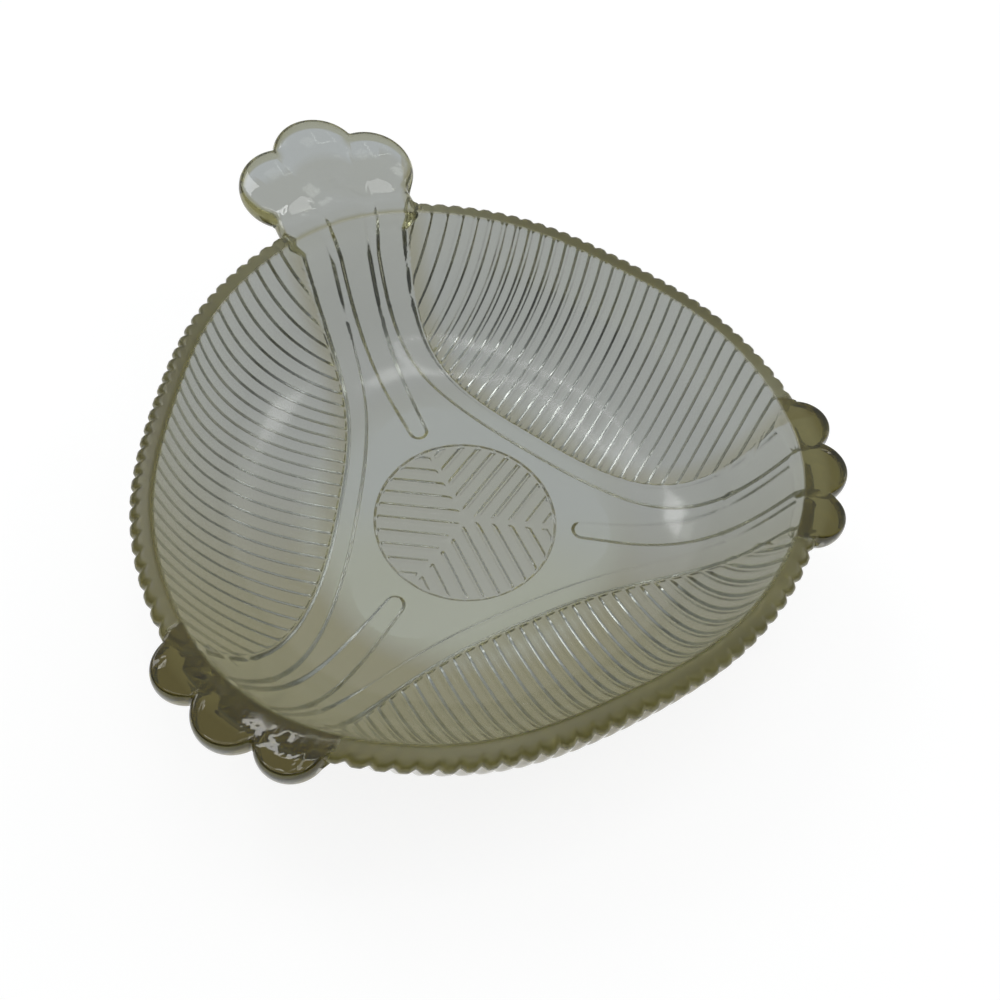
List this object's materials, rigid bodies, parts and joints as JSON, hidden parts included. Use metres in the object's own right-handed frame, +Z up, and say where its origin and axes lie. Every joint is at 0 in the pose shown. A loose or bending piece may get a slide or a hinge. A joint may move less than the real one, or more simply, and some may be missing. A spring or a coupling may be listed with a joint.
{
  "type": "bonbon dish",
  "caption": "Rounded-triangle pressed-glass bonbon dish with a smooth bowl, ribbed outside, hatched medallion, trefoil handle and small lobed corner lugs.",
  "frame": {"origin": "middle of the underside, on the flat of the medallion that the dish rests on", "axes": "+Z up out of the bowl, +X towards the trefoil handle"},
  "size_m": [0.171, 0.149, 0.0427],
  "materials": {
    "straw_glass": "clear pressed glass, faintly straw-coloured, fire-polished"
  },
  "bodies": {
    "root": {"ribbed_panel_left": "straw_glass", "ribbed_panel_opposite": "straw_glass", "ribbed_panel_right": "straw_glass", "border_band_left": "straw_glass", "border_band_opposite": "straw_glass", "border_band_right": "straw_glass", "floor_web_left": "straw_glass", "floor_web_opposite": "straw_glass", "floor_web_right": "straw_glass", "corner_bar_handle": "straw_glass", "corner_bar_left": "straw_glass", "corner_bar_right": "straw_glass", "medallion": "straw_glass", "trefoil_handle": "straw_glass", "corner_lug_left": "straw_glass", "corner_lug_right": "straw_glass"}
  },
  "joints": []
}
